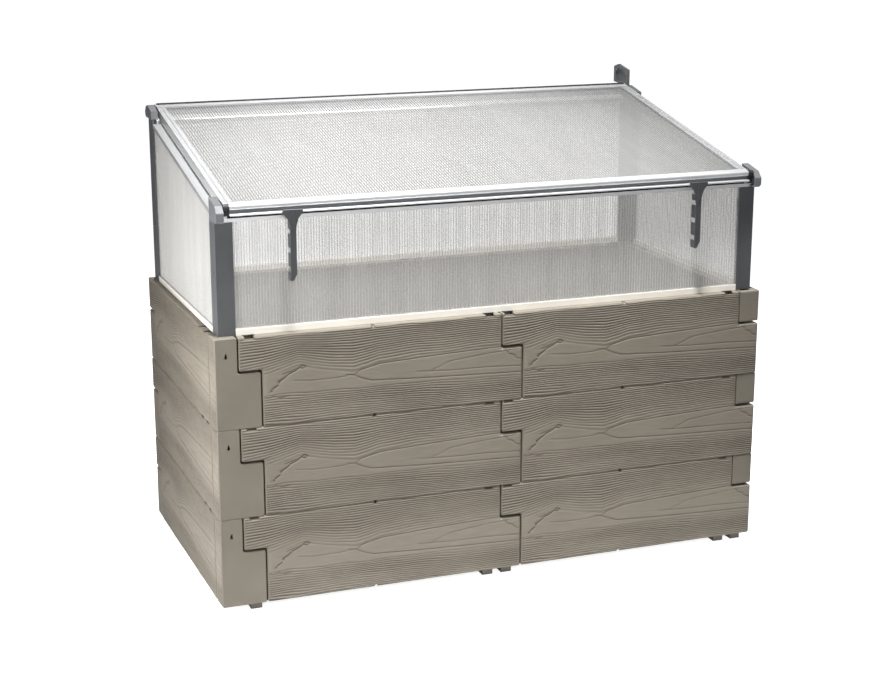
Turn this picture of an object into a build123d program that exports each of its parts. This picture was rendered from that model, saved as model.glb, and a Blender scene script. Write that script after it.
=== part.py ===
from build123d import *
import os
from math import atan, cos, degrees, radians, sin

# Raised planter of interlocking hollow planks, with a glazed cold frame on top. All sizes in mm.
# Working frame: x from the left face, y from the front face back, z up from the planks' underside.

over = 1.0                   # how far a cut runs past the face it opens, or a rib into its wall
fit = 0.3                    # gap left between neighbouring pieces

# Planter
width = 1300.0
depth = 650.0
row_height = 200.0
row_names = ["bottom", "middle", "top"]
planter_height = row_height * len(row_names)
plank_length = 600.0
plank_thick = 50.0
plank_wall = 4.0
tongue = 50.0                # how far the lower half of a plank is set along from its upper half
step_height = 124.0          # height of the step between the two halves
step_gap = 5.0
end_gap = 1.5
corner_round = 4.0
edge_chamfer = 1.4

# Pegs under each plank and the sockets they drop into
peg_length = 25.0
peg_front, peg_back = 10.0, 40.0
peg_drop = 15.0
peg_rib = 24.0
peg_offsets = [90.0, 44.0]   # from the right-hand end of a plank's lower half
corner_peg_offset = 35.0
socket_play = 1.0
mouth_length, mouth_depth = 21.0, 5.0
notch_radius, notch_depth = 4.0, 12.0
keyhole_x, keyhole_drop = 24.0, 41.0
keyhole_radius, keyhole_slot, keyhole_rise = 3.2, 2.2, 8.0

# Posts of the cold frame, and the plane its lid closes on
side_inset = 14.0
front_face = 20.0
rear_face = 640.0
pitch = 0.2075               # rise of the lid per unit of depth
seat_height = 856.0          # the seat at the front face
leg_thick = 10.0
front_leg, side_leg = 38.0, 46.0
front_post_top, front_side_leg_top = 842.5, 842.5
rear_post_top, rear_side_leg_top = 968.0, 983.0
screw_z = planter_height + 130.0
screw_setback = 18.4
screw_head, screw_shank, screw_hole = 3.5, 1.5, 1.6
screw_proud = 2.0
clip_z0, clip_z1 = 775.0, 812.0
clip_proud, clip_back = 1.5, 2.5
clip_width, clip_stem, clip_head = 4.4, 2.4, 8.0
clip_gap = 0.1

# Twin-wall sheets and the rails round them
sheet = 4.5
sheet_skin, sheet_rib = 0.7, 0.6
flute_pitch = 10.0
sheet_foot = 3.0             # foot of a wall's sheet above the planter
sheet_rise = 4.0             # top of the front sheet above its posts
sheet_drop = 5.0             # top of the other sheets below the seat
slot_width, slot_depth, slot_play = 5.2, 8.0, 1.0
bottom_rail_height, bottom_rail_floor, bottom_rail_proud = 13.0, 2.5, 0.5
top_rail_height, top_rail_roof, top_rail_wall = 10.0, 3.5, 2.0
seat_gap = 1.0
front_rail_width, front_rail_proud, front_rail_height = 16.0, 2.0, 7.5
front_strip_y, front_strip_height = (20.0, 24.0), 7.0
rear_rail_width, rear_rail_proud = 24.0, 1.0
side_rail_width, side_rail_web, side_rail_skin = 26.0, 4.0, 1.5

# Corner caps: side outlines as (y, height), upper points measured from the seat
cap_inset, cap_thick, cap_wall = 12.0, 16.0, 4.0
front_cap_end = 56.0
front_cap_upper = [(front_cap_end, 27.0), (8.0, 26.0), (-6.0, 15.0)]
front_cap_lower = [(-6.0, 850.0), (2.0, 843.0), (front_cap_end, 843.0)]
front_cap_round = 4.0
rear_cap_start = 600.0
rear_left_cap_upper = [(rear_cap_start, 26.0), (640.0, 29.0), (658.0, 20.0), (667.0, 6.0)]
rear_right_cap_upper = [(rear_cap_start, 19.0), (640.0, 19.5), (658.0, 19.5), (667.0, 6.0)]
rear_cap_lower = [(665.0, 988.0), (658.0, 984.0), (rear_cap_start, 984.0)]
rear_cap_round = 2.0
upright_thick, upright_round, arch_depth = 7.0, 2.0, 3.0
rear_reach = 729.0           # back end of the upright plate on the rear right cap
upright_outline = [(651.0, 990.0), (651.0, 1047.5), (705.0, 1058.0), (rear_reach, 1051.0),
                   (rear_reach, 1011.0), (700.0, 1009.0), (676.0, 990.0)]
arch_outline = [(661.0, 1014.0), (717.0, 1014.0), (717.0, 1036.0), (705.0, 1047.0), (672.0, 1041.0),
                (661.0, 1031.0)]

# Lid, drawn flat: v runs up the slope from the front face, w is square to the lid
lid_inset, front_rail_inset = 33.0, 42.0
lid_under, lid_top = 3.0, 24.0
lid_rail, lid_wall = 20.0, 2.0
lid_slot = 9.0
lid_groove = (14.7, 19.9)
lid_sheet_low = 15.0
bead_line = (9.0, 12.0)      # shallow line along the side rails' tops
front_rail_v = (-14.5, 4.0)
front_web = -8.0
tube_low, tube_high, tube_round = 15.8, 28.0, 5.0
tube_bore_v, tube_bore_w, tube_bore = -8.0, 22.4, 3.2
front_seal = (-11.0, front_web)
rear_rail_v, rear_rail_round = (633.0, 658.0), 2.0
rear_seal, rear_seal_height, rear_seal_inset = (650.0, 655.0), 2.5, 4.0
hinge_v, hinge_w = 647.0, 12.0
hinge_pin, hinge_hole = 4.0, 4.08
plug_x = 28.6
plug_w, plug_radius = 21.0, 7.5
plug_foot_v, plug_foot_w = (-14.0, 2.0), (4.0, 15.0)
spigot, spigot_length = 3.1, 12.0
rear_plug_margin, rear_plug_round = 1.0, 5.0

# Stays that hook on the bead along the lid's front edge
bead_v, bead_w, bead_radius = -20.7, 8.4, 2.2
lip = (7.5, 9.3)
hook_inner, hook_outer = 2.5, 6.3
hook_start, hook_end = 122.0, 330.0
stay_x = 174.0
stay_head = 44.0
stay_side = [(22.0, 4.5), (22.0, -1.0), (12.0, -14.0), (7.5, -28.0), (6.5, -40.0)]
stay_length = 146.0
stay_toe, stay_toe_rise = 1.5, 14.0
flange_thick = 3.0
web_thick, web_depth, web_top = 3.0, 17.0, 24.0
tooth_gaps = [(37.0, 48.5), (77.0, 88.5), (117.0, 128.5)]
rib_half, rib_length, rib_proud = 2.0, 38.0, 2.0

slope = degrees(atan(pitch))


def seat(y):
    """Height of the plane that the lid closes on."""
    return seat_height + pitch * (y - front_face)


def from_lid(v, w):
    """Where a point of the flat lid lies in the working frame, as (y, z)."""
    turn = radians(slope)
    y = front_face + v * cos(turn) - w * sin(turn)
    return y, seat_height + v * sin(turn) + w * cos(turn)


hinge_y, hinge_z = from_lid(hinge_v, hinge_w)
bead_y, bead_z = from_lid(bead_v, bead_w)
front_reach = bead_y - hook_outer - rib_proud
to_origin = Pos(-width / 2, -(front_reach + rear_reach) / 2, peg_drop)


def block(x0, x1, y0, y1, z0, z1):
    centre = Pos((x0 + x1) / 2, (y0 + y1) / 2, (z0 + z1) / 2)
    return centre * Box(x1 - x0, y1 - y0, z1 - z0)


def outline_face(points):
    return make_face(Polyline(*points, close=True))


def side_plate(outline, x0, x1):
    """Face drawn in (y, z), made solid from x0 to x1."""
    return extrude(Plane.YZ.offset(x0) * outline, x1 - x0)


def front_plate(points, y0, y1):
    """Outline in (x, z), made solid from y0 to y1."""
    plane = Plane(origin=(0, y1, 0), x_dir=(1, 0, 0), z_dir=(0, -1, 0))
    return extrude(plane * outline_face(points), y1 - y0)


def along_seat(y0, y1, low, high, x0, x1):
    """Bar between two heights measured from the seat, following its slope."""
    points = [(y0, seat(y0) + low), (y1, seat(y1) + low), (y1, seat(y1) + high), (y0, seat(y0) + high)]
    return side_plate(outline_face(points), x0, x1)


def rod(x0, x1, y, z, radius):
    """Round bar along X."""
    return Pos((x0 + x1) / 2, y, z) * Rot(0, 90, 0) * Cylinder(radius, x1 - x0)


def edges_along_x(shape, by):
    return shape.edges().filter_by(Axis.X).sort_by(by)


def mirror_x(shape):
    return Pos(width, 0, 0) * mirror(shape, Plane.YZ)


def save(name, shape):
    export_step(to_origin * shape, f"parts/{name}.step")


# ---- Planter planks, drawn along their wall as seen from outside, outer face at y = 0

def end_inside(value, side, wall_length):
    return value if value in (0.0, wall_length) else value + side * end_gap


def plank_outline(upper, lower, wall_length):
    """Step-ended outline; an end keeps a gap unless it is the end of the wall."""
    u0, u1 = [end_inside(value, side, wall_length) for value, side in zip(upper, (1, -1))]
    l0, l1 = [end_inside(value, side, wall_length) for value, side in zip(lower, (1, -1))]
    roof, floor = step_height - step_gap / 2, step_height + step_gap / 2
    points = [(u0, row_height), (u1, row_height)]
    if lower[1] > upper[1]:
        points += [(u1, roof), (l1, roof)]
    points += [(l1, 0), (l0, 0)]
    if lower[0] > upper[0]:
        points += [(l0, floor), (u0, floor)]
    return points


def plank_shell(upper, lower, wall_length):
    """Plank body, hollow and open underneath."""
    body = front_plate(plank_outline(upper, lower, wall_length), 0, plank_thick)
    body = fillet(body.edges().filter_by(Axis.Y), corner_round)
    body = chamfer(body.faces().sort_by(Axis.Y)[0].edges(), edge_chamfer)
    skin = plank_wall + end_gap
    inner, outer = plank_wall, plank_thick - plank_wall
    left, right = max(upper[0], lower[0]) + skin, min(upper[1], lower[1]) - skin
    top = row_height - plank_wall
    body -= block(left, right, inner, outer, -over, top)
    if lower[0] > upper[0]:
        floor = step_height + step_gap / 2 + plank_wall
        body -= block(upper[0] + skin, left + over, inner, outer, floor, top)
    if lower[1] > upper[1]:
        roof = step_height - step_gap / 2 - plank_wall
        body -= block(right - over, lower[1] - skin, inner, outer, -over, roof)
    return body


def peg(start):
    """Peg below the plank, on a rib that ties the two skins together."""
    end = start + peg_length
    rib = block(start, end, plank_wall - over, plank_thick - plank_wall + over, 0, peg_rib)
    return rib + block(start, end, peg_front, peg_back, -peg_drop, over)


def socket(x0, x1, y0, y1):
    """Opening in the top skin for a peg of the row above."""
    grown = [x0 - socket_play, x1 + socket_play, y0 - socket_play, y1 + socket_play]
    return block(*grown, row_height - plank_wall - over, row_height + over)


def front_socket(start):
    """Socket that also breaks out at the plank's top front edge."""
    low = row_height - mouth_depth
    mouth = block(start, start + mouth_length, -over, peg_front, low, row_height + over)
    return socket(start, start + peg_length, peg_front, peg_back) + mouth


def edge_notches(x):
    """Small round notches halfway along the top and bottom edges."""
    bar = Rot(90, 0, 0) * Cylinder(notch_radius, 2 * notch_depth)
    return Pos(x, 0, row_height) * bar + Pos(x, 0, 0) * bar


def keyhole():
    centre = row_height - keyhole_drop
    bar = Pos(keyhole_x, 0, centre) * Rot(90, 0, 0) * Cylinder(keyhole_radius, 3 * plank_wall)
    left, right = keyhole_x - keyhole_slot, keyhole_x + keyhole_slot
    return bar + block(left, right, -over, 2 * plank_wall, centre, centre + keyhole_rise)


def long_plank(start, sockets):
    upper = (start, start + plank_length)
    lower = (start + tongue, start + tongue + plank_length)
    body = plank_shell(upper, lower, width)
    for offset in peg_offsets:
        body += peg(lower[1] - offset)
    for place in sockets:
        body -= front_socket(place)
    return body - edge_notches(start + plank_length / 2)


def short_plank():
    length = depth - plank_thick
    body = plank_shell((0.0, length), (tongue, length), depth)
    for offset in peg_offsets:
        body += peg(length - offset)
        body -= front_socket(length - offset)
    # The neighbouring wall's last peg drops into this plank's far end.
    corner_end = peg_offsets[1]
    body -= socket(peg_front, peg_back, corner_end - peg_length, corner_end)
    return body - edge_notches(length / 2)


def corner_piece():
    body = plank_shell((0.0, tongue), (0.0, 2 * tongue), width)
    body += peg(2 * tongue - corner_peg_offset)
    return body - keyhole()


def save_planter():
    first, second = tongue, tongue + plank_length
    first_end, second_end = [start + tongue + plank_length for start in (first, second)]
    first_sockets = [2 * tongue - corner_peg_offset, first_end - peg_offsets[0]]
    second_sockets = [first_end - peg_offsets[1], second_end - peg_offsets[0]]
    left_plank = long_plank(first, first_sockets)
    right_plank = long_plank(second, second_sockets)
    side_plank = short_plank()
    corner = corner_piece()
    front, back = Pos(0, 0, 0), Pos(width, depth, 0) * Rot(0, 0, 180)
    left, right = Pos(0, depth, 0) * Rot(0, 0, -90), Pos(width, 0, 0) * Rot(0, 0, 90)
    pieces = [
        ("front_left_corner", front, corner), ("front_left_plank", front, left_plank),
        ("front_right_plank", front, right_plank), ("rear_right_corner", back, corner),
        ("rear_right_plank", back, left_plank), ("rear_left_plank", back, right_plank),
        ("left_side_plank", left, side_plank), ("right_side_plank", right, side_plank),
    ]
    for row, row_name in enumerate(row_names):
        for name, place, shape in pieces:
            save(f"{name}_{row_name}", Pos(0, 0, row * row_height) * place * shape)


# ---- Cold frame: posts, glazing and fixed rails

def sheet_gap(face):
    """The slot for a sheet in a leg or rail whose outer face is at this distance."""
    middle = face + leg_thick / 2
    return middle - slot_width / 2, middle + slot_width / 2


def left_post(y_face, toward, top, side_top):
    """Angle post at the left; toward is +1 at the front corner and -1 at the rear one."""
    def reach(a, b):
        return sorted((y_face + toward * a, y_face + toward * b))
    foot = planter_height
    x_end, y_end = side_inset + front_leg, side_leg
    post = block(side_inset, x_end, *reach(0, leg_thick), foot, top)
    post += block(side_inset, side_inset + leg_thick, *reach(0, y_end), foot, side_top)
    gap = reach(*sheet_gap(0))
    post -= block(x_end - slot_depth, x_end + over, *gap, foot - over, top + over)
    side_reach = reach(y_end - slot_depth, y_end + over)
    post -= block(*sheet_gap(side_inset), *side_reach, foot - over, side_top + over)
    screw_y = y_face + toward * screw_setback
    return post - rod(side_inset - over, side_inset + leg_thick + over, screw_y, screw_z, screw_hole)


def post_screw(y):
    head = rod(side_inset - screw_proud, side_inset, y, screw_z, screw_head)
    return head + rod(side_inset - over, side_inset + leg_thick, y, screw_z, screw_shank)


def glazing_clip():
    """Small headed strip at the edge of the front right post."""
    edge = width - side_inset - front_leg - clip_gap
    y0, y1 = front_face - clip_proud, front_face + clip_back
    stem = block(edge - clip_stem, edge, y0, y1, clip_z0, clip_z1)
    return stem + block(edge - clip_width, edge, y0, y1, clip_z1 - clip_head, clip_z1)


def save_posts():
    front = left_post(front_face, 1, front_post_top, front_side_leg_top)
    rear = left_post(rear_face, -1, rear_post_top, rear_side_leg_top)
    save("front_left_post", front)
    save("front_right_post", mirror_x(front))
    save("rear_left_post", rear)
    save("rear_right_post", mirror_x(rear))
    screws = [post_screw(y) for y in (front_face + screw_setback, rear_face - screw_setback)]
    save("post_screws", Compound(screws + [mirror_x(screw) for screw in screws]))
    save("glazing_clip", glazing_clip())


def twin_wall(length, height):
    """Twin-wall sheet centred on the YZ plane's origin: length along X, flutes running up."""
    section = Rectangle(length, sheet)
    count = int((length - flute_pitch) // flute_pitch)
    flute = Rectangle(flute_pitch - sheet_rib, sheet - 2 * sheet_skin)
    section -= GridLocations(flute_pitch, 1, count, 1) * flute
    return extrude(section, height)


def save_wall_glazing():
    foot = planter_height + sheet_foot
    edge = side_inset + front_leg - slot_depth + slot_play
    middle = leg_thick / 2
    front = twin_wall(width - 2 * edge, front_post_top + sheet_rise - foot)
    save("front_glazing", Pos(width / 2, front_face + middle, foot) * front)
    rear = twin_wall(width - 2 * edge, seat(rear_face - rear_rail_width) - sheet_drop - foot)
    save("rear_glazing", Pos(width / 2, rear_face - middle, foot) * rear)
    start = front_face + side_leg - slot_depth + slot_play
    end = rear_face - side_leg + slot_depth - slot_play
    side = Rot(0, 0, 90) * twin_wall(end - start, seat(end) - foot)
    side = Pos(side_inset + middle, (start + end) / 2, foot) * side
    x0, x1 = side_inset - over, side_inset + leg_thick + over
    side -= along_seat(start - over, end + over, -sheet_drop, row_height, x0, x1)
    save("left_glazing", side)
    save("right_glazing", mirror_x(side))


def save_bottom_rails():
    low, high = planter_height, planter_height + bottom_rail_height
    floor = low + bottom_rail_floor
    x0 = side_inset + front_leg + fit
    for name, face in (("front", front_face), ("rear", rear_face - leg_thick)):
        y0, y1 = face - bottom_rail_proud, face + leg_thick + bottom_rail_proud
        rail = block(x0, width - x0, y0, y1, low, high)
        rail -= block(x0 - over, width - x0 + over, *sheet_gap(face), floor, high + over)
        save(f"{name}_bottom_rail", rail)
    y0, y1 = front_face + side_leg + fit, rear_face - side_leg - fit
    x0, x1 = side_inset - bottom_rail_proud, side_inset + leg_thick + bottom_rail_proud
    rail = block(x0, x1, y0, y1, low, high)
    rail -= block(*sheet_gap(side_inset), y0 - over, y1 + over, floor, high + over)
    save("left_bottom_rail", rail)
    save("right_bottom_rail", mirror_x(rail))


def front_top_rail():
    x0 = cap_inset + cap_thick + fit
    low, y0 = front_post_top, front_face - front_rail_proud
    rail = block(x0, width - x0, y0, y0 + front_rail_width, low, low + front_rail_height)
    ceiling = low + sheet_rise + slot_play
    return rail - block(x0 - over, width - x0 + over, *sheet_gap(front_face), low - over, ceiling)


def front_rail_seal():
    """Strip on the front rail, just short of the closed lid."""
    x0, low = front_rail_inset, front_post_top + front_rail_height
    return block(x0, width - x0, *front_strip_y, low, low + front_strip_height)


def rear_top_rail():
    x0, y0 = cap_inset + cap_thick + fit, rear_face - rear_rail_width
    high = seat(y0) - seat_gap
    low, ceiling = high - top_rail_height, high - top_rail_roof
    rail = block(x0, width - x0, y0, rear_face + rear_rail_proud, low, high)
    return rail - block(x0 - over, width - x0 + over, *sheet_gap(rear_face - leg_thick), low - over, ceiling)


def side_top_rail():
    y0, y1 = front_cap_end + fit, rear_face - side_leg - fit
    high = -seat_gap
    low = high - top_rail_height
    rail = along_seat(y0, y1, low, high, side_inset, side_inset + side_rail_width)
    ends = y0 - over, y1 + over
    rail -= along_seat(*ends, low - over, high - top_rail_roof, *sheet_gap(side_inset))
    x0 = side_inset + leg_thick + side_rail_web
    x1 = side_inset + side_rail_width - side_rail_skin
    return rail - along_seat(*ends, low + side_rail_skin, high - top_rail_wall, x0, x1)


def save_top_rails():
    save("front_top_rail", front_top_rail())
    save("front_rail_seal", front_rail_seal())
    save("rear_top_rail", rear_top_rail())
    side = side_top_rail()
    save("left_top_rail", side)
    save("right_top_rail", mirror_x(side))


# ---- Corner caps

def cap_outline(upper, lower):
    return outline_face([(y, seat(y) + rise) for y, rise in upper] + lower)


def front_cap():
    """Plate with a rounded nose, hollow on its inner side."""
    outline = cap_outline(front_cap_upper, front_cap_lower)
    x0, x1 = cap_inset, cap_inset + cap_thick
    cap = side_plate(outline, x0, x1)
    cap = fillet(edges_along_x(cap, Axis.Y)[:4], front_cap_round)
    pocket = offset(outline, -cap_wall, kind=Kind.INTERSECTION)
    return cap - side_plate(pocket, x0 + cap_wall, x1 + over)


def rear_cap(upper):
    """Plate with a rounded back end, which holds the hinge pin."""
    outline = cap_outline(upper, rear_cap_lower)
    cap = side_plate(outline, cap_inset, cap_inset + cap_thick)
    return fillet(edges_along_x(cap, Axis.Y)[-5:], rear_cap_round)


def hinge_hole_cut():
    """Blind hole for a hinge pin in a left-hand cap."""
    return rod(cap_inset + cap_wall, cap_inset + cap_thick + over, hinge_y, hinge_z, hinge_hole)


def upright_plate():
    """Raised plate with an arched recess, standing on the rear right cap."""
    x1 = cap_inset + cap_thick
    plate = side_plate(outline_face(upright_outline), x1 - upright_thick, x1)
    plate = fillet(edges_along_x(plate, Axis.Z)[-3:], upright_round)
    return plate - side_plate(outline_face(arch_outline), x1 - arch_depth, x1 + over)


def save_caps():
    front = front_cap()
    save("front_left_cap", front)
    save("front_right_cap", mirror_x(front))
    save("rear_left_cap", rear_cap(rear_left_cap_upper) - hinge_hole_cut())
    right = rear_cap(rear_right_cap_upper) + upright_plate() - hinge_hole_cut()
    save("rear_right_cap", mirror_x(right))


# ---- Lid, drawn flat and then tipped to the slope

lid_place = Pos(0, front_face, seat_height) * Rot(slope, 0, 0)


def lid_front_rail():
    """Round-nosed tube over an open groove, with a beaded lip below it."""
    x0, x1 = front_rail_inset, width - front_rail_inset
    v0, v1 = front_rail_v
    tube = block(x0, x1, v0, v1, tube_low, tube_high)
    tube = fillet(edges_along_x(tube, Axis.Y)[:2], tube_round)
    rail = tube + block(x0, x1, front_web, v1, lid_under, tube_low)
    rail += block(x0, x1, bead_v, front_web, *lip) + rod(x0, x1, bead_v, bead_w, bead_radius)
    ends = x0 - over, x1 + over
    rail -= block(*ends, v1 - slot_depth, v1 + over, *lid_groove)
    rail -= block(*ends, front_web + lid_wall, v1 - lid_wall, lid_under + lid_wall, lid_groove[0] - lid_wall)
    return rail - rod(*ends, tube_bore_v, tube_bore_w, tube_bore)


def lid_rear_rail():
    x0, x1 = lid_inset, width - lid_inset
    v0, v1 = rear_rail_v
    rail = block(x0, x1, v0, v1, lid_under, lid_top)
    rail = fillet(edges_along_x(rail, Axis.Y)[-2:], rear_rail_round)
    ends = x0 - over, x1 + over
    rail -= block(*ends, v0 - over, v0 + slot_depth, *lid_groove)
    return rail - block(*ends, v0 + lid_wall, v1 - lid_wall, lid_under + lid_wall, lid_groove[0] - lid_wall)


def lid_side_rail():
    x0, x1 = lid_inset, lid_inset + lid_rail
    v0, v1 = front_rail_v[1] + fit, rear_rail_v[0] - fit
    ends = v0 - over, v1 + over
    rail = block(x0, x1, v0, v1, lid_under, lid_top)
    rail -= block(x1 - lid_slot, x1 + over, *ends, *lid_groove)
    rail -= block(x0 + lid_wall, x1 - lid_wall, *ends, lid_under + lid_wall, lid_groove[0] - lid_wall)
    return rail - block(x0 + bead_line[0], x0 + bead_line[1], *ends, lid_top - lid_wall, lid_top + over)


def lid_sheet():
    v0, v1 = front_rail_v[1] - slot_depth + slot_play, rear_rail_v[0] + slot_depth - slot_play
    inset = lid_inset + lid_rail - lid_slot + slot_play
    sheet_place = Pos(width / 2, v0, lid_sheet_low + sheet / 2) * Rot(-90, 0, 0)
    return sheet_place * twin_wall(width - 2 * inset, v1 - v0)


def lid_seals():
    """Strip in the front rail's groove, and the one along the top of the rear rail."""
    front = block(front_rail_inset, width - front_rail_inset, *front_seal, lip[1], tube_low)
    x0 = lid_inset + rear_seal_inset
    return front, block(x0, width - x0, *rear_seal, lid_top, lid_top + rear_seal_height)


def front_plug():
    """Stopper that closes the end of the lid's front rail, with a spigot in its tube."""
    head = rod(plug_x, front_rail_inset, tube_bore_v, plug_w, plug_radius)
    head += block(plug_x, front_rail_inset, *plug_foot_v, *plug_foot_w)
    x0, x1 = front_rail_inset - over, front_rail_inset + spigot_length
    return head + rod(x0, x1, tube_bore_v, tube_bore_w, spigot)


def rear_plug():
    """Stopper for the rear rail, with the hinge pin."""
    low, high = lid_under + rear_plug_margin, lid_top - rear_plug_margin
    plate = block(plug_x, lid_inset, *rear_rail_v, low, high)
    plate = fillet(edges_along_x(plate, Axis.Y)[-2:], rear_plug_round)
    return plate + rod(cap_inset + cap_wall + over, plug_x + over, hinge_v, hinge_w, hinge_pin)


def save_lid():
    front_strip, rear_strip = lid_seals()
    pieces = {
        "lid_front_rail": lid_front_rail(), "lid_rear_rail": lid_rear_rail(),
        "lid_left_rail": lid_side_rail(), "lid_right_rail": mirror_x(lid_side_rail()),
        "lid_glazing": lid_sheet(), "lid_front_seal": front_strip, "lid_rear_seal": rear_strip,
        "lid_front_left_plug": front_plug(), "lid_front_right_plug": mirror_x(front_plug()),
        "lid_rear_left_plug": rear_plug(), "lid_rear_right_plug": mirror_x(rear_plug()),
    }
    for name, shape in pieces.items():
        save(name, lid_place * shape)


# ---- Prop stays

def stay_hook():
    """Open ring that turns on the lid's bead; it is open towards the lip."""
    ring = Circle(hook_outer) - Circle(hook_inner)
    reach = 3 * hook_outer
    opening = hook_start + 360 - hook_end
    turns = [radians(hook_end + part * opening / 4) for part in range(5)]
    ring -= outline_face([(0, 0)] + [(reach * cos(turn), reach * sin(turn)) for turn in turns])
    return Plane.YZ.offset(-stay_head / 2) * ring


def stay():
    """Notched stay, drawn about its pivot and hanging straight down."""
    body = stay_side[-1][0]
    right = stay_side + [(body, stay_toe_rise - stay_length), (-stay_toe, -stay_length)]
    left = [(-body, -stay_length)] + [(-x, z) for x, z in reversed(stay_side)]
    front = -hook_outer
    shape = front_plate(right + left, front, front + flange_thick)
    shape += extrude(stay_hook(), stay_head)
    shape += block(-rib_half, rib_half, front - rib_proud, front + over, -rib_length, 0)
    back = front + flange_thick + web_depth
    web = block(-body, web_thick - body, front + over, back, -stay_length, -web_top)
    for top, bottom in tooth_gaps:
        gap_x = -body - over, web_thick - body + over
        web -= block(*gap_x, front + flange_thick, back + over, -bottom, -top)
    return shape + web


def save_stays():
    for name, x in (("left_stay", stay_x), ("right_stay", width - stay_x)):
        save(name, Pos(x, bead_y, bead_z) * stay())


os.makedirs("parts", exist_ok=True)
save_planter()
save_posts()
save_wall_glazing()
save_bottom_rails()
save_top_rails()
save_caps()
save_lid()
save_stays()
shift = to_origin.position
print("hinge axis at", round(hinge_y + shift.Y, 3), round(hinge_z + shift.Z, 3))
print("bead axis at", round(bead_y + shift.Y, 3), round(bead_z + shift.Z, 3))
print("front face of the planter at", round(shift.Y, 3))
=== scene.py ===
import math

import bpy
import numpy as np
from mathutils import Matrix, Vector


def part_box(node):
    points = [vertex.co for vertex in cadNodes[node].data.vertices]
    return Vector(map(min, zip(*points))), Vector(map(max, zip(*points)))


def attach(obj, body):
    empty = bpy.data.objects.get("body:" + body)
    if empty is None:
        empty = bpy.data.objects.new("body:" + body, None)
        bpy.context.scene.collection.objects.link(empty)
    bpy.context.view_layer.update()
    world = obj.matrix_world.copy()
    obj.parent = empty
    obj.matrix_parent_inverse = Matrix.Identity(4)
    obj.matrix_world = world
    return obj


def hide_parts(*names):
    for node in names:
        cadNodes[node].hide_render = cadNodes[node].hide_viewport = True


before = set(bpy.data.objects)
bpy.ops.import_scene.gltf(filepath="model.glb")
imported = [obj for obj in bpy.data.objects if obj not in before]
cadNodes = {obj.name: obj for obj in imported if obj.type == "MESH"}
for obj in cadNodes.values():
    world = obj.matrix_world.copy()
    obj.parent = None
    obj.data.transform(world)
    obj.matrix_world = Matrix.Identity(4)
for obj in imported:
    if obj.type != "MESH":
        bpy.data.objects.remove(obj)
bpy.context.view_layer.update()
mm = 0.001


def addObject(name, mesh):
    piece = bpy.data.objects.new(name, mesh)
    bpy.context.scene.collection.objects.link(piece)
    return piece


def camelName(node, ending=""):
    words = node.split("_")
    return words[0] + "".join(word.capitalize() for word in words[1:]) + ending


# Materials. Colours are linear red, green and blue.

def newMaterial(name):
    material = bpy.data.materials.new(name)
    material.use_nodes = True
    tree = material.node_tree
    return material, tree, tree.nodes["Principled BSDF"]


def addNode(tree, kind, values=None, **settings):
    node = tree.nodes.new(kind)
    for key, value in settings.items():
        setattr(node, key, value)
    for key, value in (values or {}).items():
        node.inputs[key].default_value = value
    return node


def objectNoise(tree, scale, detail=3.0, stretch=(1, 1, 1), turn=(0, 0, 0)):
    place = addNode(tree, "ShaderNodeTexCoord")
    mapping = addNode(tree, "ShaderNodeMapping", {"Scale": stretch, "Rotation": turn})
    noise = addNode(tree, "ShaderNodeTexNoise", {"Scale": scale, "Detail": detail})
    tree.links.new(place.outputs["Object"], mapping.inputs["Vector"])
    tree.links.new(mapping.outputs["Vector"], noise.inputs["Vector"])
    return noise.outputs["Fac"]


def spread(tree, factor, low, high, start=0.3, end=0.7):
    ramp = addNode(tree, "ShaderNodeMapRange",
                   {"From Min": start, "From Max": end, "To Min": low, "To Max": high})
    tree.links.new(factor, ramp.inputs["Value"])
    return ramp.outputs["Result"]


def blendColours(tree, factor, first, second):
    mix = addNode(tree, "ShaderNodeMix", data_type="RGBA")
    tree.links.new(factor, mix.inputs["Factor"])
    for socket, value in ((mix.inputs[6], first), (mix.inputs[7], second)):
        if isinstance(value, tuple):
            socket.default_value = (*value, 1)
        else:
            tree.links.new(value, socket)
    return mix.outputs[2]


def darker(colour, share):
    return tuple(share * part for part in colour)


def addBump(tree, shader, height, depth, strength=1.0, under=None):
    bump = addNode(tree, "ShaderNodeBump", {"Distance": depth, "Strength": strength})
    tree.links.new(height, bump.inputs["Height"])
    if under:
        tree.links.new(under, bump.inputs["Normal"])
    tree.links.new(bump.outputs["Normal"], shader.inputs["Normal"])
    return bump.outputs["Normal"]


plastic = {"rough": (0.5, 0.65), "pebble": 900, "depth": 0.00012, "mottle": 9.0, "specular": 0.35}


def mouldedPlastic(name, light, dark, **changes):
    finish = dict(plastic, **changes)
    material, tree, shader = newMaterial(name)
    cloud = objectNoise(tree, finish["mottle"], 5.0)
    tint = blendColours(tree, spread(tree, cloud, 0, 1), light, dark)
    tree.links.new(tint, shader.inputs["Base Color"])
    fine = objectNoise(tree, finish["pebble"], 2.0)
    tree.links.new(spread(tree, fine, *finish["rough"]), shader.inputs["Roughness"])
    shader.inputs["Specular IOR Level"].default_value = finish["specular"]
    addBump(tree, shader, fine, finish["depth"])
    return material


metal = {"along": "x", "turn": (0, 0, 0), "rough": (0.28, 0.42), "metallic": 0.7,
         "streakAlong": 4, "streakAcross": 1400, "cloud": 14.0, "worn": 0.35, "depth": 0.00004}


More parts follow.
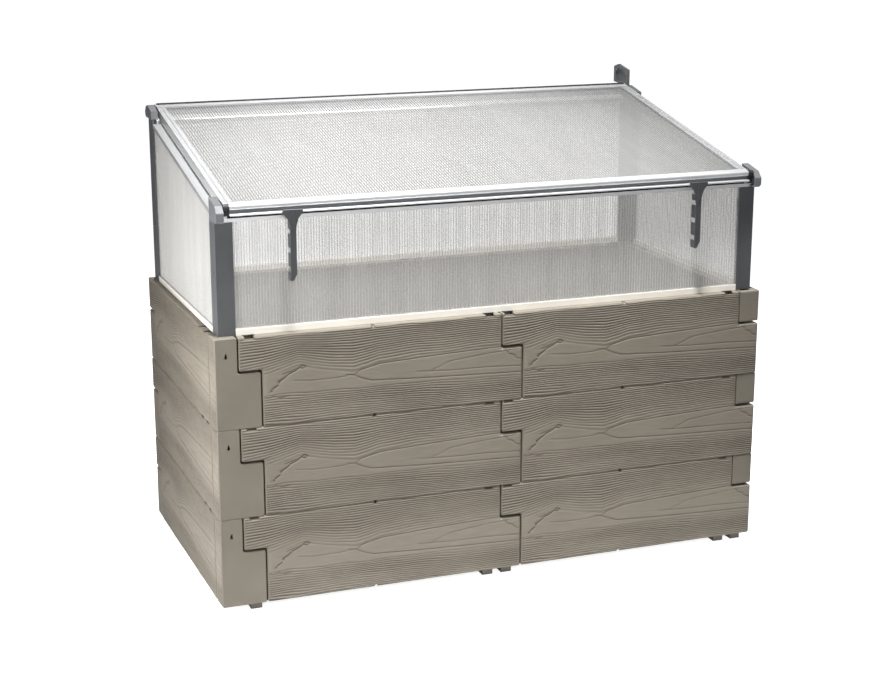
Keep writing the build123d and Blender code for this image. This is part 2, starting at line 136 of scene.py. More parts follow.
def drawnMetal(name, light, dark, **changes):
    finish = dict(metal, **changes)
    stretch = tuple(finish["streakAlong" if axis == finish["along"] else "streakAcross"] for axis in "xyz")
    material, tree, shader = newMaterial(name)
    shader.inputs["Metallic"].default_value = finish["metallic"]
    streak = objectNoise(tree, 1.0, 2.0, stretch, finish["turn"])
    cloud = objectNoise(tree, finish["cloud"], 4.0)
    tint = blendColours(tree, spread(tree, streak, 0, 1), light, dark)
    worn = blendColours(tree, spread(tree, cloud, 0, finish["worn"]), tint, dark)
    tree.links.new(worn, shader.inputs["Base Color"])
    tree.links.new(spread(tree, streak, *finish["rough"]), shader.inputs["Roughness"])
    addBump(tree, shader, streak, finish["depth"])
    return material


haze = {"along": 2, "across": 30, "shade": 0.9, "bending": 1.5}


def twinWall(name, tint, alpha, rough, along, turn=(0, 0, 0)):
    stretch = tuple(haze["along" if axis == along else "across"] for axis in "xyz")
    material, tree, shader = newMaterial(name)
    cloud = objectNoise(tree, 1.0, 2.0, stretch, turn)
    cloudy = blendColours(tree, spread(tree, cloud, 0, 1), tint, darker(tint, haze["shade"]))
    tree.links.new(cloudy, shader.inputs["Base Color"])
    shader.inputs["Alpha"].default_value = alpha
    shader.inputs["Roughness"].default_value = rough
    shader.inputs["IOR"].default_value = haze["bending"]
    return material


# The groove colour darkens the fibres and the relief's cuts; in the cuts it is partly darker grain, partly
# painted shade.
wood = {"ridge": (0.185, 0.164, 0.132), "groove": (0.045, 0.038, 0.029),
        "rough": (0.6, 0.8), "specular": 0.35, "fibre": (18, 700, 1), "fibreStain": 0.2,
        "fibreDepth": 0.00025, "fibreStrength": 0.7, "cloud": 6.0, "cloudShade": 0.88,
        "grooveStain": 0.92, "grooveFrom": 0.2, "grooveTo": 0.85, "grit": 1100, "gritDepth": 0.0001}


def woodGrain(name):
    material, tree, shader = newMaterial(name)
    cut = addNode(tree, "ShaderNodeAttribute", attribute_name="groove")
    place = addNode(tree, "ShaderNodeAttribute", attribute_name="plankPlace")
    mapping = addNode(tree, "ShaderNodeMapping", {"Scale": wood["fibre"]})
    noise = addNode(tree, "ShaderNodeTexNoise", {"Scale": 1.0, "Detail": 3.0})
    tree.links.new(place.outputs["Vector"], mapping.inputs["Vector"])
    tree.links.new(mapping.outputs["Vector"], noise.inputs["Vector"])
    fibre = noise.outputs["Fac"]
    cloud = objectNoise(tree, wood["cloud"], 4.0)
    pale = darker(wood["ridge"], wood["cloudShade"])
    base = blendColours(tree, spread(tree, cloud, 0, 1), wood["ridge"], pale)
    fine = blendColours(tree, spread(tree, fibre, 0, wood["fibreStain"]), base, wood["groove"])
    # The deeper the relief is cut, the darker the colour: partly darker grain, partly painted shade in the
    # grooves.
    stainAndShade = spread(tree, cut.outputs["Fac"], 0, wood["grooveStain"], wood["grooveFrom"], wood["grooveTo"])
    tree.links.new(blendColours(tree, stainAndShade, fine, wood["groove"]), shader.inputs["Base Color"])
    tree.links.new(spread(tree, fibre, *wood["rough"]), shader.inputs["Roughness"])
    shader.inputs["Specular IOR Level"].default_value = wood["specular"]
    under = addBump(tree, shader, objectNoise(tree, wood["grit"], 2.0), wood["gritDepth"])
    addBump(tree, shader, fibre, wood["fibreDepth"], wood["fibreStrength"], under)
    return material


lidSlope = (-0.2046, 0, 0)  # turns a pattern to run up the lid
looks = {
    "planter": mouldedPlastic("pebbledBedPlastic", (0.15, 0.134, 0.107), (0.125, 0.111, 0.089),
                              rough=(0.6, 0.78), pebble=650, depth=0.0004),
    "grain": woodGrain("woodGrainPlastic"),
    "post": mouldedPlastic("anthraciteExtrusion", (0.077, 0.0795, 0.084), (0.063, 0.065, 0.069),
                           rough=(0.32, 0.46), pebble=1300, depth=0.00005),
    "cap": mouldedPlastic("greyCapPlastic", (0.122, 0.125, 0.131), (0.098, 0.101, 0.107), rough=(0.4, 0.55)),
    "darkCap": mouldedPlastic("darkCapPlastic", (0.1, 0.105, 0.11), (0.075, 0.08, 0.085), rough=(0.4, 0.55)),
    "plug": mouldedPlastic("blackPlugPlastic", (0.022, 0.022, 0.024), (0.012, 0.012, 0.013),
                           rough=(0.45, 0.6)),
    "stay": mouldedPlastic("greyStayPlastic", (0.05, 0.0515, 0.055), (0.039, 0.041, 0.044),
                           rough=(0.38, 0.52)),
    "seal": mouldedPlastic("blackRubber", (0.018, 0.018, 0.018), (0.01, 0.01, 0.01), rough=(0.6, 0.8)),
    "railX": drawnMetal("frontRailAluminium", (0.8, 0.805, 0.81), (0.62, 0.625, 0.63)),
    "railY": drawnMetal("sideRailAluminium", (0.66, 0.665, 0.67), (0.5, 0.505, 0.51),
                        along="y", turn=lidSlope),
    "paleRail": drawnMetal("paleRailAluminium", (0.86, 0.855, 0.865), (0.72, 0.715, 0.73), rough=(0.4, 0.55)),
    "base": mouldedPlastic("creamBaseProfile", (0.74, 0.71, 0.65), (0.66, 0.63, 0.57),
                           rough=(0.35, 0.5), pebble=1200, depth=0.00005),
    "screw": drawnMetal("darkScrew", (0.12, 0.12, 0.125), (0.07, 0.07, 0.075)),
    "wallSheet": twinWall("wallSheetPlastic", (0.9, 0.9, 0.88), 0.12, 0.2, "z"),
    "wallRib": twinWall("wallRibPlastic", (0.62, 0.61, 0.59), 0.5, 0.25, "z"),
    "lidSheet": twinWall("lidSheetPlastic", (0.34, 0.34, 0.335), 0.2, 0.22, "y", lidSlope),
    "lidRib": twinWall("lidRibPlastic", (0.16, 0.16, 0.155), 0.8, 0.25, "y", lidSlope),
}
print("materials ready")


# CAD pieces that keep their shape take a finish by name.

finishes = [  # the first word found in a node's name counts
    ("plank", "planter"), ("corner", "planter"), ("post", "post"), ("rear_right_cap", "darkCap"),
    # The lid's front seal takes the dark cap grey: partly a dark seal, partly painted shade for the shadow in
    # the lid rail's groove.
    ("cap", "cap"), ("plug", "plug"), ("stay", "stay"), ("lid_front_seal", "darkCap"), ("seal", "seal"),
    ("clip", "cap"), ("bottom_rail", "base"), ("front_top_rail", "paleRail"), ("left_top_rail", "railY"),
    ("right_top_rail", "railY"), ("lid_left_rail", "railY"), ("lid_right_rail", "railY"), ("rail", "railX"),
]
for node, piece in cadNodes.items():
    found = [look for word, look in finishes if word in node]
    if found:
        for slot in piece.material_slots:
            slot.material = looks[found[0]]
print("finishes on", len(cadNodes), "nodes")


# Wood grain on the planks: a thin relief that stands on each plank's outer face. Sizes in mm.

grain = {
    "rowStep": 1.0, "columnStep": 50 / 12, "closest": 0.3,
    "foot": 0.15, "relief": 1.35, "rimShare": 0.35, "rooted": 0.4, "sharpAngle": 60,
    "linesAbove": 15, "linesBelow": 13, "crowding": 1.15, "narrowness": 1.5, "overlap": -0.02,
    # Lines run above the first of these curves and below the second, and the wood between them is clear.
    "aboveU": [0, 54, 100, 132, 160, 200, 254, 280, 312, 400, 589, 660],
    "aboveV": [97, 108, 119, 127, 119, 110, 101, 107, 117, 123, 130, 131],
    "belowU": [0, 60, 97, 254, 400, 646, 660],
    "belowV": [60, 68, 70, 67, 64, 57, 56],
}
depths = {  # how deep the lines are cut at the heart of the plank, and how fast that grows
    "above": {"least": 0.4, "rise": 2.2},
    "below": {"least": 0.55, "rise": 3},
    "everywhere": 0.86,
}
waves = {  # what bends and fades the lines: its share, its seed, its waves and how long they are
    "above": {"amount": 0.28, "seed": 3, "count": 6, "reach": (70, 22)},
    "below": {"amount": 0.45, "seed": 4, "count": 8, "reach": (45, 14)},
    "fade": {"amount": 0.14, "seed": 5, "count": 6, "reach": (90, 16)},
    "tooth": {"amount": 0.03, "seed": 6, "count": 5, "reach": (6, 3)},
}
strokes = [  # half width, depth and route of the single lines drawn one by one
    (1.5, 1.0, [(68, 74), (74, 82), (84, 88), (88, 97), (100, 104), (108, 111), (122, 116), (133, 124)]),
    (1.6, 0.9, [(133, 124), (139, 129), (146, 126), (142, 121), (135, 122)]),
    (1.3, 0.7, [(96, 112), (112, 117), (124, 121)]),
    (1.2, 0.8, [(254, 95), (272, 86), (293, 79), (400, 73), (520, 68), (655, 63)]),
    (1.2, 0.8, [(236, 97), (254, 95), (268, 104), (312, 114), (400, 119), (480, 122), (600, 126)]),
    (1.1, 0.5, [(429, 86), (452, 94), (476, 104), (560, 112), (640, 117)]),
    (1.1, 0.6, [(400, 88), (429, 86), (480, 83), (560, 82), (655, 77)]),
    (1.3, 0.5, [(280, 145), (284, 151), (292, 153), (298, 149)]),
    (1.4, 0.8, [(600, 124), (610, 115), (616, 108), (628, 104), (636, 96), (655, 90)]),
    (1.2, 0.6, [(612, 113), (620, 121), (632, 119)]),
    (1.4, 0.7, [(52, 66), (64, 62), (76, 66), (90, 61), (104, 63)]),
    (1.2, 0.5, [(120, 96), (160, 92), (210, 92), (240, 94)]),
]
farAway = 1e9
fullTurn = 6.28


def ripple(u, v, name):
    wave = waves[name]
    rng = np.random.default_rng(wave["seed"])
    total = np.zeros_like(u)
    for _ in range(wave["count"]):
        alongU, alongV = rng.normal(0, 1, 2) / np.array(wave["reach"])
        total += np.sin(u * alongU + v * alongV + rng.uniform(0, fullTurn))
    return wave["amount"] * (total / math.sqrt(wave["count"]))


def strokeDepth(u, v, halfWidth, points):
    nearest = np.full_like(u, farAway)
    for (au, av), (bu, bv) in zip(points, points[1:]):
        du, dv = bu - au, bv - av
        t = np.clip(((u - au) * du + (v - av) * dv) / (du * du + dv * dv), 0, 1)
        nearest = np.minimum(nearest, np.hypot(u - au - t * du, v - av - t * dv))
    return np.exp(-(nearest / halfWidth) ** 2)


def lineCut(lines, height, name):
    least, rise = depths[name]["least"], depths[name]["rise"]
    cut = (0.5 + 0.5 * np.cos(2 * np.pi * lines)) ** grain["narrowness"]
    cut = cut * (least + (1 - least) * np.clip(height * rise, 0, 1))
    return np.where(height > grain["overlap"], cut, 0)


def grooveDepth(u, v):
    high = np.interp(u, grain["aboveU"], grain["aboveV"])
    low = np.interp(u, grain["belowU"], grain["belowV"])
    above = np.clip((v - high) / (plank["rowHeight"] - high), -1, 1)
    below = np.clip((low - v) / low, -1, 1)
    crowded = np.sign(above) * np.abs(above) ** grain["crowding"]
    linesUp = grain["linesAbove"] * crowded + ripple(u, v, "above")
    linesDown = grain["linesBelow"] * below + ripple(u, v, "below")
    cut = lineCut(linesUp, above, "above") + lineCut(linesDown, below, "below")
    cut = np.clip(cut * (depths["everywhere"] + ripple(u, v, "fade")), 0, 1)
    for halfWidth, depth, points in strokes:
        cut = np.maximum(cut, depth * strokeDepth(u, v, halfWidth, points))
    return np.clip(cut + ripple(u, v, "tooth"), 0, 1)


def latticeLines(low, high, step, extra):
    regular = np.arange(math.ceil(low / step), high / step) * step
    room = grain["closest"] * step
    kept = [value for value in regular if min(abs(value - other) for other in extra) > room]
    return np.array(sorted(set(kept) | set(extra)))


def boundaryLoop(faces):
    edges = np.concatenate([faces[:, [side, (side + 1) % 4]] for side in range(4)])
    owned = {tuple(edge) for edge in edges}
    after = {a: b for a, b in owned if (b, a) not in owned}
    loop = [next(iter(after))]
    while after[loop[-1]] != loop[0]:
        loop.append(after[loop[-1]])
    return loop


def reliefMesh(name, parts, cuts, start):
    lowU, highU = min(part[0] for part in parts), max(part[1] for part in parts)
    lowV, highV = plank["border"], plank["rowHeight"] - plank["border"]
    edgesU = {value for part in parts + cuts for value in part[:2] if lowU <= value <= highU}
    edgesV = {value for part in parts + cuts for value in part[2:] if lowV <= value <= highV}
    us = latticeLines(lowU, highU, grain["columnStep"], edgesU)
    vs = latticeLines(lowV, highV, grain["rowStep"], edgesV)
    midU, midV = np.meshgrid((us[1:] + us[:-1]) / 2, (vs[1:] + vs[:-1]) / 2, indexing="ij")

    def covered(boxes):
        inside = np.zeros(midU.shape, bool)
        for u0, u1, v0, v1 in boxes:
            inside |= (midU > u0) & (midU < u1) & (midV > v0) & (midV < v1)
        return inside

    cells = np.argwhere(covered(parts) & ~covered(cuts))
    across = len(vs)
    corner = cells[:, 0] * across + cells[:, 1]
    faces = np.stack([corner, corner + across, corner + across + 1, corner + 1], 1)
    used, faces = np.unique(faces, return_inverse=True)
    faces = faces.reshape(-1, 4)
    u, v = us[used // across], vs[used % across]
    cut = grooveDepth(u - start, v)
    height = grain["foot"] + grain["relief"] * (1 - cut)
    loop = boundaryLoop(faces)
    height[loop] = grain["foot"] + grain["rimShare"] * (height[loop] - grain["foot"])
    # A skirt and a flat back close the relief behind the plank's face.
    count, around = len(u), len(loop)
    back = np.stack([u[loop], v[loop], np.full(around, -grain["rooted"])], 1)
    points = np.concatenate([np.stack([u, v, height], 1), back]) * mm
    skirt = [(loop[i - 1], count + (i - 1) % around, count + i, loop[i]) for i in range(around)]
    backFace = tuple(count + i for i in reversed(range(around)))
    mesh = bpy.data.meshes.new(name)
    mesh.from_pydata(points.tolist(), [], faces.tolist() + skirt + [backFace])
    groove = np.concatenate([cut, np.zeros(around)]).astype(np.float32)
    mesh.attributes.new("groove", "FLOAT", "POINT").data.foreach_set("value", groove)
    place = points.astype(np.float32).ravel()
    mesh.attributes.new("plankPlace", "FLOAT_VECTOR", "POINT").data.foreach_set("vector", place)
    mesh.shade_smooth()
    mesh.set_sharp_from_angle(angle=math.radians(grain["sharpAngle"]))
    mesh.materials.append(looks["grain"])
    return mesh


# The faces that the relief stands on, with u along the wall and v up the row

plank = {
    "rowHeight": 200.0, "length": 600, "tongue": 50, "stepHeight": 124.0, "stepGap": 5.0, "endGap": 1.5,
    "border": 2.2, "over": 1,
    "pegOffsets": (90, 44), "cornerPeg": 35, "mouthLength": 21, "mouthDepth": 5, "mouthClear": 2,
    "notchRadius": 4, "notchClear": 1.5,
}
tongue, length = plank["tongue"], plank["length"]
first, second = tongue, tongue + length
firstEnd, secondEnd = first + length + tongue, second + length + tongue
farPeg, nearPeg = plank["pegOffsets"]
plankShapes = {  # upper and lower spans along the wall, and where pegs and notches open
    "firstLong": {"upper": (first, second), "lower": (first + tongue, firstEnd),
                  "sockets": (2 * tongue - plank["cornerPeg"], firstEnd - farPeg),
                  "notch": first + length / 2},
    "secondLong": {"upper": (second, secondEnd - tongue), "lower": (second + tongue, secondEnd),
                   "sockets": (firstEnd - nearPeg, secondEnd - farPeg),
                   "notch": second + length / 2},
    "side": {"upper": (0, length), "lower": (tongue, length),
             "sockets": (length - farPeg, length - nearPeg), "notch": length / 2},
    "cornerSide": {"upper": (length, length + tongue), "lower": (length, length + tongue),
                   "sockets": (), "notch": None},
}
plankPlaces = [
    ("front_left_plank", "front", "firstLong"), ("front_right_plank", "front", "secondLong"),
    ("rear_right_plank", "rear", "firstLong"), ("rear_left_plank", "rear", "secondLong"),
    ("left_side_plank", "left", "side"), ("right_side_plank", "right", "side"),
    ("front_left_corner", "left", "cornerSide"), ("rear_right_corner", "right", "cornerSide"),
]
bedLow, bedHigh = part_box("front_left_corner_top")[0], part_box("rear_right_corner_top")[1]
bedWidth, bedDepth = (bedHigh.x - bedLow.x) / mm, (bedHigh.y - bedLow.y) / mm
walls = {  # where a wall's own u, v and outward directions lie
    "front": Matrix(((1, 0, 0, bedLow.x), (0, 0, -1, bedLow.y), (0, 1, 0, 0), (0, 0, 0, 1))),
    "rear": Matrix(((-1, 0, 0, bedHigh.x), (0, 0, 1, bedHigh.y), (0, 1, 0, 0), (0, 0, 0, 1))),
    "left": Matrix(((0, 0, -1, bedLow.x), (-1, 0, 0, bedHigh.y), (0, 1, 0, 0), (0, 0, 0, 1))),
    "right": Matrix(((0, 0, 1, bedHigh.x), (1, 0, 0, bedLow.y), (0, 1, 0, 0), (0, 0, 0, 1))),
}


def plankParts(upper, lower, wallLength):
    border = plank["border"]

    def inner(value, side):
        gap = 0 if value in (0, wallLength) else plank["endGap"]
        return value + side * (gap + border)

    u0, u1 = inner(upper[0], 1), inner(upper[1], -1)
    l0, l1 = inner(lower[0], 1), inner(lower[1], -1)
    low, high = border, plank["rowHeight"] - border
    parts = [(max(u0, l0), min(u1, l1), low, high)]
    if l0 > u0:
        parts.append((u0, l0, plank["stepHeight"] + plank["stepGap"] / 2 + border, high))
    if l1 > u1:
        parts.append((u1, l1, low, plank["stepHeight"] - plank["stepGap"] / 2 - border))
    return parts


def plankCuts(shape):
    high, over, clear = plank["rowHeight"], plank["over"], plank["mouthClear"]
    length, low = plank["mouthLength"] + clear, high - plank["mouthDepth"] - clear
    cuts = [(start - clear, start + length, low, high + over) for start in shape["sockets"]]
    if shape["notch"]:
        reach = plank["notchRadius"] + plank["notchClear"]
        for v0, v1 in ((-over, reach), (high - reach, high + over)):
            cuts.append((shape["notch"] - reach, shape["notch"] + reach, v0, v1))
    return cuts


for row, rowName in enumerate(("bottom", "middle", "top")):
    rise = bedHigh.z - (3 - row) * plank["rowHeight"] * mm
    for node, wall, shapeName in plankPlaces:
        shape = plankShapes[shapeName]
        wallLength = bedWidth if wall in ("front", "rear") else bedDepth
        parts = plankParts(shape["upper"], shape["lower"], round(wallLength))
        start = 0 if shapeName == "cornerSide" else shape["upper"][0]
        name = camelName(f"{node}_{rowName}", "Grain")
        mesh = reliefMesh(name, parts, plankCuts(shape), start)
        mesh.transform(Matrix.Translation((0, 0, rise)) @ walls[wall])
        piece = addObject(name, mesh)
        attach(piece, "planter")
print("grain on", 3 * len(plankPlaces), "faces")


# Geometry Nodes helpers

def newTree(name, inputs):
    tree = bpy.data.node_groups.new(name, "GeometryNodeTree")
    for label, kind, value in inputs:
        socket = tree.interface.new_socket(label, in_out="INPUT", socket_type=kind)
        if value is not None:
            socket.default_value = value
    tree.interface.new_socket("Geometry", in_out="OUTPUT", socket_type="NodeSocketGeometry")
    return tree, tree.nodes.new("NodeGroupInput").outputs


def wire(tree, target, source):
    if hasattr(source, "is_output"):
        tree.links.new(source, target)
    else:
        target.default_value = source


def geoNode(tree, kind, wires=None, **settings):
    node = tree.nodes.new(kind)
    for key, value in settings.items():
        setattr(node, key, value)
    for key, source in (wires or {}).items():
        wire(tree, node.inputs[key], source)
    return node.outputs[0]


def calc(tree, operation, first, second=0.0):
    return geoNode(tree, "ShaderNodeMath", {0: first, 1: second}, operation=operation)


def vector(tree, x=0.0, y=0.0, z=0.0):
    return geoNode(tree, "ShaderNodeCombineXYZ", {0: x, 1: y, 2: z})


def movedBox(tree, size, place):
    box = geoNode(tree, "GeometryNodeMeshCube", {"Size": size})
    return geoNode(tree, "GeometryNodeTransform", {"Geometry": box, "Translation": place})


def joined(tree, parts):
    node = tree.nodes.new("GeometryNodeJoinGeometry")
    for part in parts:
        tree.links.new(part, node.inputs[0])
    return node.outputs[0]


def buildWith(name, tree, values, place, body, replaced):
    piece = addObject(name, bpy.data.meshes.new(name))
    modifier = piece.modifiers.new("build", "NODES")
    modifier.node_group = tree
    for item in tree.interface.items_tree:
        if item.in_out == "INPUT" and item.name in values:
            modifier[item.identifier] = values[item.name]
    bpy.context.view_layer.update()
    graph = bpy.context.evaluated_depsgraph_get()
    mesh = bpy.data.meshes.new_from_object(piece.evaluated_get(graph))
    piece.modifiers.clear()
    mesh.name = name
    mesh.transform(place)
    piece.data = mesh
    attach(piece, body)
    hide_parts(*replaced)
    return piece


# Twin-wall sheets: two skins with flutes between them, the top edge level or sloping

sheet = {"Thickness": 4.5 * mm, "Skin": 0.7 * mm, "Rib": 0.7 * mm, "Pitch": 6.6 * mm}
ribPlay = 0.06 * mm  # keeps the flutes' walls just clear of the skins
floatSocket, lookSocket = "NodeSocketFloat", "NodeSocketMaterial"


def sheetTree():
    tree, given = newTree("twinWallSheet", [(label, floatSocket, value) for label, value in sheet.items()] + [
        ("Length", floatSocket, 1.0), ("Low Height", floatSocket, 0.25), ("Slope", floatSocket, 0.0),
        ("Skin Material", lookSocket, None), ("Rib Material", lookSocket, None)])
    flutes = calc(tree, "FLOOR", calc(tree, "DIVIDE", given["Length"], given["Pitch"]))
    halfPitch = calc(tree, "MULTIPLY", given["Pitch"], -0.5)
    reach = calc(tree, "MULTIPLY", calc(tree, "SUBTRACT", flutes, 1.0), halfPitch)
    line = geoNode(tree, "GeometryNodeMeshLine", {
        "Count": flutes, "Start Location": vector(tree, x=reach), "Offset": vector(tree, x=given["Pitch"])})
    depth = calc(tree, "SUBTRACT", calc(tree, "SUBTRACT", given["Thickness"], given["Skin"]), given["Skin"])
    room = calc(tree, "SUBTRACT", depth, ribPlay)
    rib = movedBox(tree, vector(tree, given["Rib"], room, 1.0), vector(tree, z=0.5))
    ribs = geoNode(tree, "GeometryNodeInstanceOnPoints", {"Points": line, "Instance": rib})
    ribs = geoNode(tree, "GeometryNodeRealizeInstances", {"Geometry": ribs})
    ribs = geoNode(tree, "GeometryNodeSetMaterial", {"Geometry": ribs, "Material": given["Rib Material"]})
    half = calc(tree, "MULTIPLY", calc(tree, "SUBTRACT", given["Thickness"], given["Skin"]), 0.5)
    other = calc(tree, "MULTIPLY", half, -1.0)
    size = vector(tree, given["Length"], given["Skin"], 1.0)
    skins = joined(tree, [movedBox(tree, size, vector(tree, y=side, z=0.5)) for side in (half, other)])
    skins = geoNode(tree, "GeometryNodeSetMaterial", {"Geometry": skins, "Material": given["Skin Material"]})
    everything = joined(tree, [ribs, skins])
    position = geoNode(tree, "GeometryNodeInputPosition")
    split = tree.nodes.new("ShaderNodeSeparateXYZ")
    tree.links.new(position, split.inputs[0])
    along = calc(tree, "ADD", split.outputs[0], calc(tree, "MULTIPLY", given["Length"], 0.5))
    tall = calc(tree, "ADD", given["Low Height"], calc(tree, "MULTIPLY", given["Slope"], along))
    raised = vector(tree, split.outputs[0], split.outputs[1], calc(tree, "MULTIPLY", split.outputs[2], tall))
    sloped = geoNode(tree, "GeometryNodeSetPosition", {"Geometry": everything, "Position": raised})
    result = geoNode(tree, "GeometryNodeRealizeInstances", {"Geometry": sloped})
    tree.links.new(result, tree.nodes.new("NodeGroupOutput").inputs[0])
    return tree


lidPlace = {  # the line under the lid's front edge, the lid's pitch, and its sheet along and above that line
    "frontY": bedLow.y + 20 * mm, "seatZ": bedHigh.z + 256 * mm, "pitch": 0.2075,
    "sheetStart": -3 * mm, "sheetEnd": 640 * mm, "sheetMiddle": 17.25 * mm,
}


def sheetValues(length, slope, lowHeight, skin, rib):
    return dict(sheet, Length=length, Slope=slope, **{
        "Low Height": lowHeight, "Skin Material": looks[skin], "Rib Material": looks[rib]})


def shifted(place, degrees, axis):
    return Matrix.Translation(place) @ Matrix.Rotation(math.radians(degrees), 4, axis)


wallTurns = {"front_glazing": 0, "rear_glazing": 0, "left_glazing": 90, "right_glazing": 90}


def placeWallSheets(tree):
    for node, turn in wallTurns.items():
        low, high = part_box(node)
        centre, size = (low + high) / 2, high - low
        length, slope = (size.y, lidPlace["pitch"]) if turn else (size.x, 0.0)
        values = sheetValues(length, slope, size.z - slope * length, "wallSheet", "wallRib")
        place = shifted((centre.x, centre.y, low.z), turn, "Z")
        buildWith(camelName(node), tree, values, place, "planter", [node])


def placeLidSheet(tree):
    low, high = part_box("lid_glazing")
    start = lidPlace["sheetStart"]
    values = sheetValues(high.x - low.x, 0.0, lidPlace["sheetEnd"] - start, "lidSheet", "lidRib")
    flat = shifted((0, start, lidPlace["sheetMiddle"]), -90, "X")
    angle = math.degrees(math.atan(lidPlace["pitch"]))
    tipped = shifted((0, lidPlace["frontY"], lidPlace["seatZ"]), angle, "X")
    buildWith("lidGlazing", tree, values, tipped @ flat, "lid", ["lid_glazing"])


twinWallTree = sheetTree()
placeWallSheets(twinWallTree)
placeLidSheet(twinWallTree)
print("sheets placed")


# Cross-head screws on the posts' side legs

screw = {"Head": 3.6 * mm, "Crown": 2.3 * mm, "Proud": 2.0 * mm, "Recess": 3.4 * mm, "Slot": 0.9 * mm}
recessPlace = 0.9  # middle of the cross recess, as a share of the head's height
plainHead = 7 * mm  # width of the plain heads that these stand for


def screwTree():
    tree, given = newTree("postScrews", [(label, floatSocket, value) for label, value in screw.items()] + [
        ("Span X", floatSocket, 1.27), ("Span Y", floatSocket, 0.58), ("Finish", lookSocket, None)])
    head = geoNode(tree, "GeometryNodeMeshCone", {
        "Vertices": 28, "Side Segments": 1, "Radius Top": given["Crown"], "Radius Bottom": given["Head"],
        "Depth": given["Proud"]})
    cut = tree.nodes.new("GeometryNodeMeshBoolean")
    cut.operation = "DIFFERENCE"
    tree.links.new(head, cut.inputs["Mesh 1"])
    up = vector(tree, z=calc(tree, "MULTIPLY", given["Proud"], recessPlace))
    for across, along in (("Recess", "Slot"), ("Slot", "Recess")):
        bar = movedBox(tree, vector(tree, given[across], given[along], given["Proud"]), up)
        tree.links.new(bar, cut.inputs["Mesh 2"])
    grid = geoNode(tree, "GeometryNodeMeshGrid", {
        "Size X": given["Span X"], "Size Y": given["Span Y"], "Vertices X": 2, "Vertices Y": 2})
    split = tree.nodes.new("ShaderNodeSeparateXYZ")
    tree.links.new(geoNode(tree, "GeometryNodeInputPosition"), split.inputs[0])
    turn = calc(tree, "MULTIPLY", calc(tree, "SIGN", split.outputs[0]), math.pi / 2)
    placed = geoNode(tree, "GeometryNodeInstanceOnPoints", {
        "Points": grid, "Instance": cut.outputs["Mesh"], "Rotation": vector(tree, y=turn)})
    loose = geoNode(tree, "GeometryNodeRealizeInstances", {"Geometry": placed})
    finished = geoNode(tree, "GeometryNodeSetMaterial", {"Geometry": loose, "Material": given["Finish"]})
    tree.links.new(finished, tree.nodes.new("NodeGroupOutput").inputs[0])
    return tree


def placeScrews():
    low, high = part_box("post_screws")
    spans = {"Span X": high.x - low.x - 2 * screw["Proud"], "Span Y": high.y - low.y - plainHead}
    values = dict(screw, **spans, Finish=looks["screw"])
    middle = Matrix.Translation((low + high) / 2)
    buildWith("postScrews", screwTree(), values, middle, "planter", ["post_screws"])


placeScrews()
print("screws placed")


# Stage, light and camera

floor = {
    "size": 40.0, "colour": (0.6, 0.6, 0.6, 1), "lift": 0.9, "rough": 0.8,
    "shade": (0.2, 0.2, 0.19, 1), "shadeInset": 45 * mm,  # the ground inside the bed is darker
}
lights = {
    "boxes": [  # place, target, width, height and power
        ("leftBox", (-1.2, -0.44, 0.52), (-0.65, -0.31, 0.38), 0.3, 0.9, 13),
        ("frontBox", (-0.75, -2.5, 1.4), (-0.15, -0.3, 0.55), 0.6, 0.4, 25),
        ("rearBox", (0.5, 2.6, 1.5), (0.1, 0.35, 0.3), 1.0, 0.7, 42),
        ("rightBox", (2.5, 0.3, 1.3), (0.65, 0, 0.35), 0.8, 0.7, 26),
    ],
    "top": {"place": (-0.3, -0.85, 4.4), "target": (0, -0.1, 0.6),
            "power": 2400, "cone": 29, "radius": 0.35, "blend": 0.6},
}
sky = {"left": 0.26, "right": 0.2, "reach": 0.8}
camera = {"lens": 71.78, "sensor": 36, "clipEnd": 50, "place": (-1.48171, -3.85309, 1.54029),
          "tilt": 75.113, "yaw": -21.038}


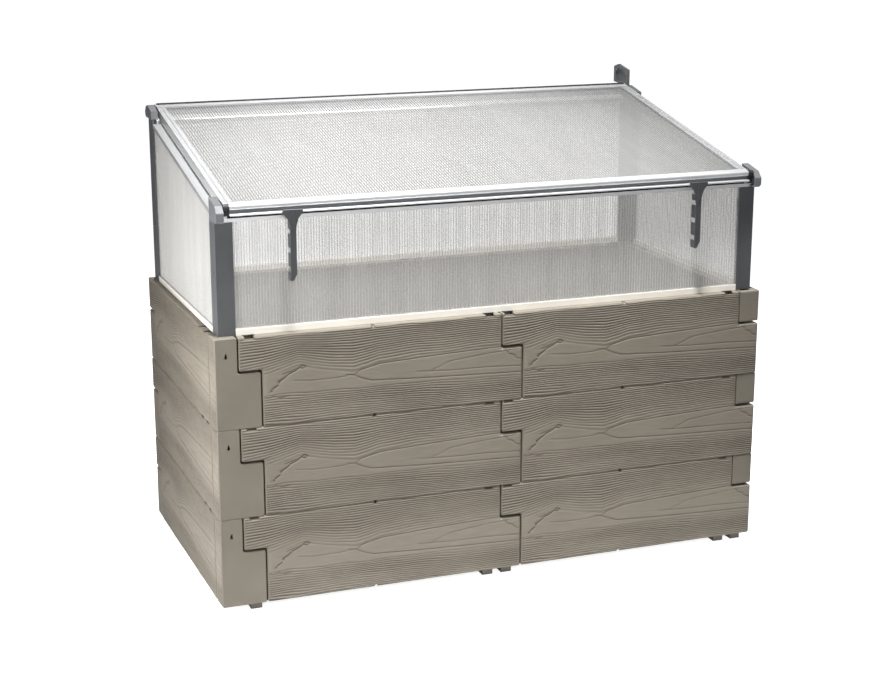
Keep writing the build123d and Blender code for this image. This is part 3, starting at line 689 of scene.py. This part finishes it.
def makeFloor():
    half, inset = floor["size"] / 2, Vector((floor["shadeInset"], floor["shadeInset"], 0))
    low, high = bedLow + inset, bedHigh - inset
    corners = [(-half, -half, 0), (half, -half, 0), (half, half, 0), (-half, half, 0),
               (low.x, low.y, 0), (high.x, low.y, 0), (high.x, high.y, 0), (low.x, high.y, 0)]
    around = [(0, 1, 5, 4), (1, 2, 6, 5), (2, 3, 7, 6), (3, 0, 4, 7)]
    mesh = bpy.data.meshes.new("floor")
    mesh.from_pydata(corners, [], around + [(4, 5, 6, 7)])
    pale, tree, shader = newMaterial("paleFloor")
    shader.inputs["Base Color"].default_value = floor["colour"]
    shader.inputs["Roughness"].default_value = floor["rough"]
    shader.inputs["Specular IOR Level"].default_value = 0.0
    shader.inputs["Emission Color"].default_value = (1, 1, 1, 1)
    path = addNode(tree, "ShaderNodeLightPath")
    lift = spread(tree, path.outputs["Is Camera Ray"], 0.0, floor["lift"], 0, 1)
    tree.links.new(lift, shader.inputs["Emission Strength"])
    shaded, tree, shader = newMaterial("shadedFloor")
    shader.inputs["Base Color"].default_value = floor["shade"]
    shader.inputs["Roughness"].default_value = 0.9
    mesh.materials.append(pale)
    mesh.materials.append(shaded)
    mesh.polygons[4].material_index = 1
    addObject("floor", mesh)


def aim(name, lamp, place, target):
    light = addObject(name, lamp)
    light.location = place
    light.rotation_mode = "QUATERNION"
    light.rotation_quaternion = (Vector(target) - Vector(place)).to_track_quat("-Z", "Y")
    light.visible_camera = False


def makeLights():
    for name, place, target, width, height, power in lights["boxes"]:
        lamp = bpy.data.lights.new(name, "AREA")
        lamp.shape, lamp.size, lamp.size_y, lamp.energy = "RECTANGLE", width, height, power
        aim(name, lamp, place, target)
    top = lights["top"]
    lamp = bpy.data.lights.new("topLight", "SPOT")
    lamp.energy, lamp.shadow_soft_size = top["power"], top["radius"]
    lamp.spot_size, lamp.spot_blend = math.radians(top["cone"]), top["blend"]
    aim("topLight", lamp, top["place"], top["target"])


def makeWorld():
    world = bpy.data.worlds.new("studio")
    world.use_nodes = True
    bpy.context.scene.world = world
    tree = world.node_tree
    back = tree.nodes["Background"]
    back.inputs["Color"].default_value = (1, 1, 1, 1)
    path = addNode(tree, "ShaderNodeLightPath")
    place = addNode(tree, "ShaderNodeTexCoord")
    split = addNode(tree, "ShaderNodeSeparateXYZ")
    tree.links.new(place.outputs["Generated"], split.inputs[0])
    glow = spread(tree, split.outputs["X"], sky["left"], sky["right"], -sky["reach"], sky["reach"])
    strength = addNode(tree, "ShaderNodeMath", operation="MAXIMUM")
    tree.links.new(path.outputs["Is Camera Ray"], strength.inputs[0])
    tree.links.new(glow, strength.inputs[1])
    tree.links.new(strength.outputs[0], back.inputs["Strength"])


def makeCamera():
    lens = bpy.data.cameras.new("camera")
    lens.lens, lens.sensor_width, lens.clip_end = camera["lens"], camera["sensor"], camera["clipEnd"]
    eye = addObject("camera", lens)
    eye.location = camera["place"]
    eye.rotation_euler = (math.radians(camera["tilt"]), 0, math.radians(camera["yaw"]))
    bpy.context.scene.camera = eye


makeFloor()
makeLights()
makeWorld()
makeCamera()
bpy.context.scene.view_settings.view_transform = "Standard"
bpy.context.scene.cycles.transparent_max_bounces = 32  # a ray meets many skins and flutes
print("stage ready")
